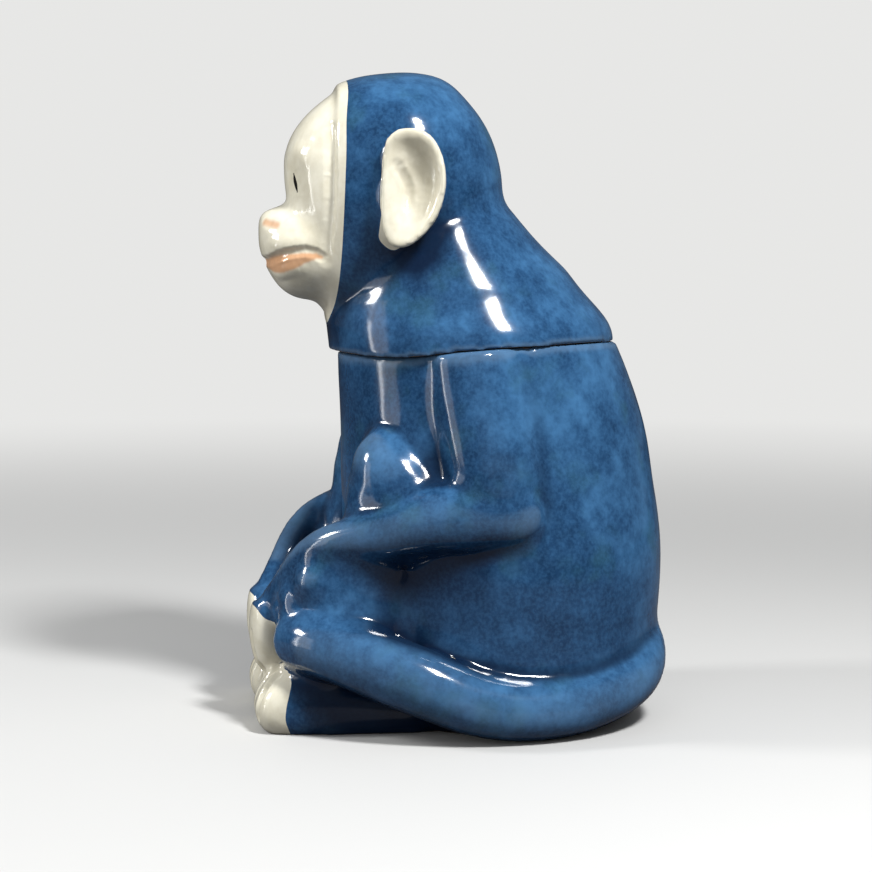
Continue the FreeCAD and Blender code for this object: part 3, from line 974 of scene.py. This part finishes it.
@dataclass
class Casting:
    """One fired piece, cast in a mould from all its members at once.

    Slip settles in every crease, and for longer in the hollows. At the end the whole skin is
    polished, and for longer where it was worked, but the seat and its rim keep their edges
    between two heights. Where another part lies within reach out and above a point, that
    point's glaze gets painted shade.
    """

    # Of a tool that parts off a glaze: its squares, smoothing, growth and reach to each side.
    tool_voxel = 0.7
    tool_ease = 12
    tool_grow = 1.1
    flank = 60.0

    name: str
    body: Body
    members: tuple[str, ...]
    voxel: float
    ease: int
    settling: int
    hollows: tuple[Hollow, ...]
    webs: tuple[Web, ...]
    polish: int
    worked: tuple[Hollow, ...]
    rim: Corner
    # How far another part may lie and still give a point painted shade.
    reach: float

    def cast(self) -> Piece:
        """Runs the members together into one smooth skin.

        Returns:
            The skin.
        """
        skin = members_copy(self.name, self.members, self.webs)
        even_skin(skin, self.voxel)
        mesh = skin.data
        relax(mesh, self.ease)
        net = Net(mesh)
        height = positions(mesh)[:, 2]
        low, high = self.rim
        off_rim = smooth_step(np.maximum(low - height, height - high) / 3.0)
        net.settle(self.settling, 0.9 * off_rim)
        for place in self.hollows:
            net.settle(place.passes, place.share(mesh) * off_rim)
        relax(mesh, self.polish, off_rim > 0.5)
        for place in self.worked:
            relax(mesh, place.passes, place.share(mesh) * off_rim > 0.3)
        points = positions(mesh)
        points[:, 2] = np.clip(points[:, 2], ON_THE_FLOOR, TOP_OF_THE_HEAD)
        set_positions(mesh, points)
        log.info("%s: cast with %d faces", self.name, len(mesh.polygons))
        return skin

    def keep_hollows(self, mesh: Mesh) -> None:
        """Keeps where the skin is hollow, and its painted shade and painted light.

        Args:
            mesh: The skin.
        """
        net = Net(mesh)
        # Creases, where the glaze is darker: partly pooled glaze, partly painted shade.
        store(mesh, "hollow", net.hollow(30, 0.8))
        # Painted shade where the piece closes off the view out and up.
        store(mesh, "shelter", net.shelter(self.reach, 5))
        # Painted light: paler where the skin faces up and back, toward the lamp above and behind.
        upward = normals(mesh) @ np.array([0.0, 0.74, 0.67])
        store(mesh, "thinned", smooth_step(0.42 + 0.55 * upward))

    def zone_tool(self, node: str) -> Piece:
        """A closed tool a little larger than a packed node.

        Args:
            node: The node.

        Returns:
            The tool.
        """
        tool = members_copy(f"{node}_tool", (node,))
        even_skin(tool, self.tool_voxel)
        mesh = tool.data
        relax(mesh, self.tool_ease)
        set_positions(mesh, positions(mesh) + normals(mesh) * self.tool_grow)
        return tool

    def front_block(self, line: Line, depth: float) -> Piece:
        """A closed tool from a line in the side view forward to a depth.

        Args:
            line: The line, from its upper end to its lower one.
            depth: The depth.

        Returns:
            The tool.
        """
        outline = eased(line) + [(depth, line[-1][1]), (depth, line[0][1])]
        return block("front", outline, -self.flank, self.flank)

    def part_off(self, skin: Piece, tool: Piece, name: str) -> tuple[Piece, Piece]:
        """Parts a skin along a tool's surface.

        Args:
            skin: The closed skin, which is used up.
            tool: The closed tool, which is used up.
            name: The name of the part inside the tool.

        Returns:
            The part inside the tool and the rest.
        """
        piece = cut_with(skin, tool, "INTERSECT", name)
        rest = cut_with(skin, tool, "DIFFERENCE", self.name)
        drop(skin, tool)
        return piece, rest

    def hand_over(self, piece: Piece, slot: Slot, material: Material, *nodes: str) -> None:
        """Dresses a finished piece and hands it to the frame.

        Args:
            piece: The finished piece.
            slot: The record's slot for its finish; not used.
            material: The finish.
            nodes: The packed nodes that it stands for.
        """
        mesh = piece.data
        mesh.materials.clear()
        mesh.materials.append(material)
        mesh.shade_smooth()
        mesh.set_sharp_from_angle(angle=math.radians(SHARP_ANGLE))
        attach(piece, self.body.value)
        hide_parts(*nodes)
        log.info("%s: %d points", piece.name, len(mesh.vertices))


@dataclass
class Jar(Casting):
    """The seated body, with its arms, hands, legs, toes and tail.

    Its lines are seen from the side. The wall is a list of heights, each with the share of
    the half width and half depth that it has there and the depth of its middle.
    """

    name: str = "jar_casting"
    body: Body = Body.JAR
    members: tuple[str, ...] = ("jar_shell", *Side.pairs("arm", "leg", "hand", "toes"), "tail")
    voxel: float = 1.27
    ease: int = 5
    settling: int = 10
    hollows: tuple[Hollow, ...] = (
        Hollow((45, 5, 94), (10, 7, 20), 14),
        Hollow((40, -31, 100), (9, 7, 14), 30),
        Hollow((48, -8, 34), (16, 34, 8), 40),
        Hollow((28, -64, 40), (15, 14, 14), 70),
        Hollow((40, -42, 46), (14, 24, 10), 90),
    )
    webs: tuple[Web, ...] = (
        Web((24, -66, 38), (9, 6, 11)),
        Web((31.5, -58, 45.5), (7.5, 9, 8.5)),
        Web((34, -43, 34.5), (7.5, 11, 8.5)),
    )
    polish: int = 7
    worked: tuple[Hollow, ...] = (
        Hollow((28, -62, 42), (14, 14, 14), 55),
        Hollow((38, -44, 44), (14, 22, 12), 30),
        Hollow((36, -30, 84), (14, 18, 22), 34),
    )
    rim: Corner = (112.5, 400.0)
    reach: float = 55.0
    fingers: tuple[Stroke, ...] = (
        Stroke(((5.6, -80, 16.5), (5.8, -80, 28)), 1.7, 0.9, 0.5, (1, 0.1, 1)),
        Stroke(((10.4, -80, 16), (10.6, -80, 29)), 1.7, 0.9, 0.5, (1, 0.1, 1)),
        Stroke(((15.2, -78, 16.5), (15.2, -78, 28)), 1.7, 0.9, 0.5, (1, 0.1, 1)),
    )
    toes: tuple[Stroke, ...] = (
        Stroke(((15.6, -74, 18), (15, -78, 4)), 2.2, 1.3, 0.6, (1, 0.1, 0.6)),
        Stroke(((21.5, -74, 18), (22.6, -78, 4)), 2.2, 1.3, 0.6, (1, 0.1, 0.6)),
        Stroke(
            ((26.5, -72.3, 18.7), (28.2, -73.6, 15.8), (29.8, -75.5, 12.8), (30.4, -77.7, 5)),
            2.5, 1.7, 0.6, (0.6, 1, 1),
        ),
    )
    wrist: Line = (
        (-84, 39.5), (-79.1, 36.6), (-77.9, 35.9), (-75.4, 33.1), (-72.1, 31.8), (-66, 29),
        (-62, 5),
    )
    toe_end: Line = (
        (-66, 24), (-68, 18), (-68.1, 15.2), (-68.9, 12), (-69.7, 8.5), (-69.9, 4.6), (-68.4, 0),
        (-68, -3),
    )
    wall: tuple[Point, ...] = (
        (0, 0.83, 0), (4, 0.915, 0), (20, 0.975, 0.4), (46, 0.99, 0.9), (66, 0.942, -0.25),
        (82, 0.89, -1.6), (98, 0.843, -3.65), (107, 0.822, -5.55), (116, 0.806, -7.4),
    )
    half_width: float = 53.0
    half_depth: float = 50.0

    def build(self, blue: Material, cream: Material) -> None:
        """Casts the jar, models the fingers and toes, and parts it by glaze.

        Args:
            blue: The blue glaze.
            cream: The cream glaze.
        """
        skin = self.cast()
        for mark in (self.model_extremities, self.keep_hollows, self.mark_bare, self.mark_lining):
            mark(skin.data)
        for side in Side:
            for part, line in (("hand", self.wrist), ("toes", self.toe_end)):
                node = side.node(part)
                whole = self.zone_tool(node)
                limit = self.front_block(line, -95.0)
                tool = cut_with(whole, limit, "INTERSECT", f"{node}_limit")
                drop(whole, limit)
                piece, skin = self.part_off(skin, tool, f"{node}_glazed")
                self.hand_over(piece, Slot.CREAM, cream, node)
        skin.name = self.name
        blue_nodes = [m for m in self.members if not m.endswith(("hand", "toes"))]
        self.hand_over(skin, Slot.BLUE, blue, *blue_nodes)

    def model_extremities(self, mesh: Mesh) -> None:
        """Presses the lines between the fingers and between the toes.

        Args:
            mesh: The skin.
        """
        for edge, top in ((-60.0, 46.0), (-69.0, 36.0)):
            x, y, z = positions(mesh).T
            refine(mesh, (y < edge) & (np.abs(x) < 40) & (z < top))
            x, y, z = positions(mesh).T
            relax(mesh, 4, (y < edge + 2) & (np.abs(x) < 42) & (z < top + 2))
        for stroke in (*self.fingers, *self.toes):
            stroke.press(mesh)
            stroke.mirrored().press(mesh)
        x, y, z = positions(mesh).T
        relax(mesh, 4, (y < -62) & (np.abs(x) < 42) & (z < 48))

    def mark_bare(self, mesh: Mesh) -> None:
        """Marks the clay that the potter wiped: the foot ring and the seat at the mouth.

        Args:
            mesh: The skin.
        """
        height = positions(mesh)[:, 2]
        up = normals(mesh)[:, 2]
        foot = smooth_step((0.5 - height) / 0.3) * smooth_step((-up - 0.8) / 0.15)
        seat = smooth_step((up - 0.9) / 0.06) * smooth_step((height - 112.5) / 0.6)
        seat *= smooth_step((0.985 - np.hypot(*self.across_wall(positions(mesh)))) / 0.02)
        store(mesh, "bare", np.maximum(foot, seat))

    def across_wall(self, points: Array) -> tuple[Array, Array]:
        """How far out points lie, as shares of the way to the wall, sideways and in depth.

        Args:
            points: The points, one row each.

        Returns:
            The shares sideways, and the shares in depth.
        """
        x, y, z = points.T
        heights, shares, middles = np.array(self.wall).T
        share = np.interp(z, heights, shares)
        depth = y - np.interp(z, heights, middles)
        return x / (self.half_width * share), depth / (self.half_depth * share)

    def mark_lining(self, mesh: Mesh) -> None:
        """Marks the inside, which has a pale glaze.

        Args:
            mesh: The skin.
        """
        height = positions(mesh)[:, 2]
        across, along = self.across_wall(positions(mesh))
        reach = np.hypot(across, along)
        facing = normals(mesh)
        outward = (facing[:, 0] * across + facing[:, 1] * along) / np.maximum(reach, 1e-6)
        within = (reach < 1.04) & ((outward < -0.2) | ((reach < 0.94) & (facing[:, 2] > 0.2)))
        store(mesh, "lining", within * smooth_step((height - 4.0) / 0.6))


@dataclass
class Lid(Casting):
    """The head and shoulders, with the face and ears.

    Its lines are seen from the side. The lips carry their half width at each corner.
    """

    name: str = "lid_casting"
    body: Body = Body.LID
    members: tuple[str, ...] = ("lid_shell", "face", *Side.pairs("ear"))
    voxel: float = 0.85
    ease: int = 6
    settling: int = 10
    hollows: tuple[Hollow, ...] = (
        Hollow((14, -59, 150), (13, 8, 15), 60),
        Hollow((16, -2, 158), (26, 14, 14), 140),
        Hollow((28, -32, 144), (12, 20, 10), 60),
        Hollow((22, -54, 165), (9, 5, 34), 15),
        Hollow((8, -57, 128), (18, 6, 8), 12),
        Hollow((34, -39, 160), (6, 5, 18), 90),
        Hollow((33, -36, 147), (6, 6, 5), 90),
    )
    webs: tuple[Web, ...] = ()
    polish: int = 7
    worked: tuple[Hollow, ...] = (Hollow((20, -10, 160), (22, 26, 22), 14),)
    rim: Corner = (-400.0, 117.5)
    reach: float = 30.0
    face_line: Line = (
        (-48.75, 208.5), (-48.60, 197), (-49.90, 185), (-50.20, 175.9), (-50.60, 165.7),
        (-51.10, 151.8), (-51.50, 143), (-52.10, 135), (-53.00, 129), (-54.50, 123.9),
        (-54.80, 122.3),
    )
    ear_line: Line = (
        (-33, 180.7), (-35.9, 179.8), (-38.4, 178.6), (-39, 175.1), (-39.6, 171.4), (-40, 167),
        (-39.6, 162.4), (-40, 158.3), (-40.6, 152.2), (-40.6, 148.9), (-38.4, 146.4),
        (-36.1, 145.6), (-33.7, 146.8),
    )
    face_strokes: tuple[Stroke, ...] = (
        Stroke(((13.3, -65.2, 169.8), (14.2, -64.3, 162)), 6.5, 0.8),
        Stroke(((8, -67.3, 174), (14, -64.2, 174.6), (19, -60.1, 173)), 5.5, -0.6),
        Stroke(((12, -66, 158.6), (17, -62.5, 158.8)), 4, -0.35),
        Stroke(((7, -73.6, 154.2), (9.5, -71.6, 153.6)), 2.6, 0.5),
        Stroke(
            ((24, -54.7, 182), (25, -54.5, 169.5), (25, -54.8, 160.5), (20, -56.1, 142.5)),
            3, 1.1,
        ),
        Stroke(((0.5, -73.2, 146), (9, -70, 147.4), (17, -62.3, 148.6)), 3.4, -0.4),
        Stroke(((0.5, -70.6, 138), (8, -69.8, 138.3), (15, -63.7, 139.8)), 3.2, -0.6),
    )
    mouth: Stroke = Stroke(
        (
            (0.3, -73, 142.3), (5, -71.8, 142.6), (9, -69.2, 143.9), (13, -66.3, 144.8),
            (17, -61.9, 145.3), (19, -58.9, 144.5), (20, -57.4, 143.4),
        ),
        2.2, 1.2, 0.5, (0.3, 1, 1),
    )
    ear_strokes: tuple[Stroke, ...] = (
        Stroke(
            ((40, -33.1, 174), (40, -30.7, 170.7), (40, -29.6, 165.7), (39, -30.6, 160.4)),
            5.5, 0.7,
        ),
        Stroke(
            ((39, -36, 171), (38, -34.1, 167.8), (38, -32.6, 164.6), (38, -32.9, 159)),
            2.5, 1.1,
        ),
        Stroke(((36, -38.1, 166.9), (36, -37.8, 160.5), (36, -38, 153.1)), 3.5, -0.5),
    )
    cheek: Hollow = Hollow((15, -63, 158.5), (8, 8, 5), 16)
    lips: tuple[tuple[Point, float], ...] = (
        ((0.3, -71.6, 140.8), 1.4), ((6, -70.9, 140.9), 1.7), ((11, -68.4, 141.6), 2.5),
        ((14, -66.4, 142), 2.9), ((17, -62.6, 143.1), 2.4), ((19, -59, 143.7), 1.5),
        ((20, -57.4, 143.3), 0.5),
    )
    nostril: tuple[Point, ...] = ((6.6, -73.9, 153.8), (9, -71.9, 153.3), (10.8, -70.6, 153))
    pupil: tuple[Point, ...] = ((13, -65.4, 168.4), (13.5, -65, 166.1), (14, -64.4, 163.2))
    ear_span: Corner = (27, 46)

    def build(self, blue: Material, cream: Material, face_cream: Material) -> None:
        """Casts the lid, models the features, and parts it by glaze.

        Args:
            blue: The blue glaze.
            cream: The cream glaze of the ears.
            face_cream: The painted glaze of the face.
        """
        skin = self.cast()
        for mark in (self.model_features, self.keep_hollows, self.mark_bare, self.mark_lining):
            mark(skin.data)
        self.paint_features(skin.data)
        for side in Side:
            node = side.node("ear")
            grown = self.zone_tool(node)
            edge = eased(self.ear_line) + [(-31.0, 150.0), (-31.0, 181.0)]
            front = block("ear_front", edge, *(side.value * x for x in self.ear_span))
            tool = cut_with(grown, front, "UNION", f"{node}_zone")
            drop(grown, front)
            piece, skin = self.part_off(skin, tool, f"{node}_glazed")
            self.hand_over(piece, Slot.CREAM, cream, node)
        zone = self.front_block(self.face_line, -130.0)
        face, rest = self.part_off(skin, zone, "face_glazed")
        rest.name = self.name
        self.hand_over(face, Slot.CREAM, face_cream, "face")
        self.hand_over(rest, Slot.BLUE, blue, "lid_shell")

    def model_features(self, mesh: Mesh) -> None:
        """Models the eyes, nose, mouth and ears.

        Args:
            mesh: The skin.
        """
        x, y, z = np.abs(positions(mesh)).T
        refine(mesh, ((y > 51) & (z > 128)) | ((x > 29) & (z > 143) & (y > 18)))
        x, y, z = np.abs(positions(mesh)).T
        refine(mesh, (y > 55) & (x < 23) & (((z > 134) & (z < 148)) | ((z > 160) & (z < 171))))
        points = positions(mesh)
        relax(mesh, 6, (points[:, 1] < -49) & (points[:, 2] > 126))
        relax(mesh, 4, (np.abs(points[:, 0]) > 28) & (points[:, 2] > 142))
        for stroke in (*self.face_strokes, self.mouth, *self.ear_strokes):
            stroke.press(mesh)
            stroke.mirrored().press(mesh)
        points = positions(mesh)
        relax(mesh, 4, (points[:, 1] < -50) & (points[:, 2] > 126))
        relax(mesh, self.cheek.passes, self.cheek.share(mesh) > 0.3)
        relax(mesh, 3, (np.abs(points[:, 0]) > 28) & (points[:, 2] > 142))

    def paint_features(self, mesh: Mesh) -> None:
        """Keeps the places of the painted lips, nostrils and pupils.

        Args:
            mesh: The skin.
        """
        points = positions(mesh)
        points[:, 0] = np.abs(points[:, 0])
        slack = (0.2, 1.0, 1.0)
        gap, along = line_distance(points, landed(mesh, tuple(p for p, _ in self.lips), slack))
        marks = np.linspace(0, 1, len(self.lips))
        width = np.interp(along, marks, [w for _, w in self.lips])
        lips = smooth_step(0.5 + (width - gap) / 1.8)
        gap, along = line_distance(points, landed(mesh, self.nostril, slack))
        spot = 0.75 * smooth_step((2.4 - gap) / 2.2)
        store(mesh, "blush", np.maximum(lips, spot))
        gap, along = line_distance(points, landed(mesh, self.pupil, slack))
        width = 0.85 * np.sin(math.pi * np.clip(along, 0.06, 0.94)) ** 0.6
        store(mesh, "ink", smooth_step(0.5 + (width - gap) / 0.6))

    def mark_bare(self, mesh: Mesh) -> None:
        """Marks the wiped seat under the lid's rim.

        Args:
            mesh: The skin.
        """
        height = positions(mesh)[:, 2]
        down = -normals(mesh)[:, 2]
        seat = smooth_step((down - 0.9) / 0.06) * smooth_step((119.0 - height) / 1.0)
        store(mesh, "bare", seat)

    def mark_lining(self, mesh: Mesh) -> None:
        """Marks the inside, which has a pale glaze.

        Args:
            mesh: The skin.
        """
        points = positions(mesh)
        x, y, z = points.T
        inward = -points * np.array([1.0, 1.0, 0.0]) - np.array([0.0, 15.0, 0.0])
        inward[:, 2] = 120.0 - z
        inward /= np.linalg.norm(inward, axis=1)[:, None]
        share = smooth_step((np.sum(inward * normals(mesh), axis=1) - 0.05) / 0.2)
        share[(y < -50) | ((z > 140) & (np.abs(x) > 28.5))] = 0
        store(mesh, "lining", share)


# Studio


@dataclass(frozen=True)
class SoftLamp:
    """One softbox, with its power in watts and whether the glaze mirrors it."""

    name: str
    place: Point
    aim: Point
    width: float
    height: float
    power: float
    mirrored: bool = True

    def build(self) -> None:
        """Puts the lamp in the scene."""
        light = bpy.data.lights.new(self.name, "AREA")
        light.shape = "RECTANGLE"
        light.size = self.width * MM
        light.size_y = self.height * MM
        light.energy = self.power
        lamp = add_object(self.name, light)
        lamp.visible_glossy = self.mirrored
        point_at(lamp, self.place, self.aim)


@dataclass(frozen=True)
class Studio:
    """The floor, lamps and camera.

    The camera sees the floor as table, and everything else meets it as cloth. The floor fades
    into the backdrop between two distances in metres, and the glaze mirrors less of the sky.
    """

    camera_place: Point = (714.6, -101.0, 155.0)
    camera_aim: Point = (0.0, -20.3, 86.7)
    lens: float = 94.54
    pale: Point = (0.80, 0.80, 0.79)
    cloth: Point = (0.64, 0.64, 0.63)
    table: Point = (0.09, 0.09, 0.10)
    fade: Corner = (0.25, 1.1)
    sky: Point = (0.95, 0.97, 1.0)
    fill: float = 0.20
    dimmer: float = -0.12
    lamps: tuple[SoftLamp, ...] = (
        SoftLamp("face_lamp", (-62, -710, 455), (0, -20, 110), 130, 150, 2.9),
        SoftLamp("strip_lamp", (0, -760, 160), (0, -20, 90), 40, 310, 0.34),
        SoftLamp("card_lamp", (95, -740, 215), (0, -20, 90), 240, 400, 0.45),
        SoftLamp("top_lamp", (430, 200, 640), (0, 0, 90), 100, 140, 6.6),
        SoftLamp("far_lamp", (-700, 150, 480), (0, 0, 90), 900, 900, 1.5, False),
        SoftLamp("near_lamp", (700, -220, 360), (0, 0, 100), 500, 500, 0.95, False),
    )

    def build(self) -> None:
        """Sets the stage."""
        self._floor()
        self._world()
        for lamp in self.lamps:
            lamp.build()
        camera = bpy.data.cameras.new("camera")
        camera.lens = self.lens
        camera.sensor_width = 36.0
        camera.clip_start = 0.01
        holder = add_object("camera", camera)
        point_at(holder, self.camera_place, self.camera_aim)
        bpy.context.scene.camera = holder
        bpy.context.scene.view_settings.view_transform = "Standard"

    def _floor(self) -> None:
        """A plain pale floor that fades into the backdrop well behind the jar."""
        mesh = bpy.data.meshes.new("floor")
        with opened(mesh) as form:
            bmesh.ops.create_grid(form, x_segments=1, y_segments=1, size=8.0)
        floor = add_object("floor", mesh)
        material, lay, shader = new_material("pale_floor")
        seen = lay.node("LightPath").outputs["Is Camera Ray"]
        lay.put(shader, "Base Color", lay.mix(seen, self.table, self.cloth))
        lay.put(shader, "Roughness", 0.7)
        length = lay.node("VectorMath", lay.place(), operation="LENGTH")
        far = lay.spread(length.outputs["Value"], *self.fade)
        glow = lay.node("Emission", self.pale)
        output = next(n for n in material.node_tree.nodes if n.type == "OUTPUT_MATERIAL")
        lay.put(output, "Surface", lay.layer(lay.times(far, seen), shader, glow))
        mesh.materials.append(material)

    def _world(self) -> None:
        """Even light from all round, dimmer in the glaze, and a pale backdrop behind."""
        world = bpy.data.worlds.new("studio")
        world.use_nodes = True
        lay = Shading(world.node_tree)
        rays = lay.node("LightPath").outputs
        strength = lay.plus(lay.times(rays["Is Glossy Ray"], self.dimmer), self.fill)
        around = lay.node("Background", self.sky, strength)
        backdrop = lay.node("Background", self.pale, 1.0)
        lay.node("OutputWorld", lay.layer(rays["Is Camera Ray"], around, backdrop))
        bpy.context.scene.world = world


def dress_flange(material: Material) -> None:
    """Gives the ring under the lid its bare clay.

    Args:
        material: The finish.
    """
    flange = bpy.data.objects["lid_flange"]
    flange.data.materials.clear()
    flange.data.materials.append(material)
    log.info("lid_flange: bare clay")


def main() -> None:
    """Builds the whole scene in order."""
    logging.basicConfig(level=logging.INFO, format="%(name)s: %(message)s")
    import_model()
    effects = Effects()
    blue = BLUE.build(effects)
    cream = CREAM.build(effects)
    Jar().build(blue, cream)
    Lid().build(blue, cream, FACE_CREAM.build(effects))
    dress_flange(CLAY.build(effects))
    Studio().build()


if __name__ == "__main__":
    main()
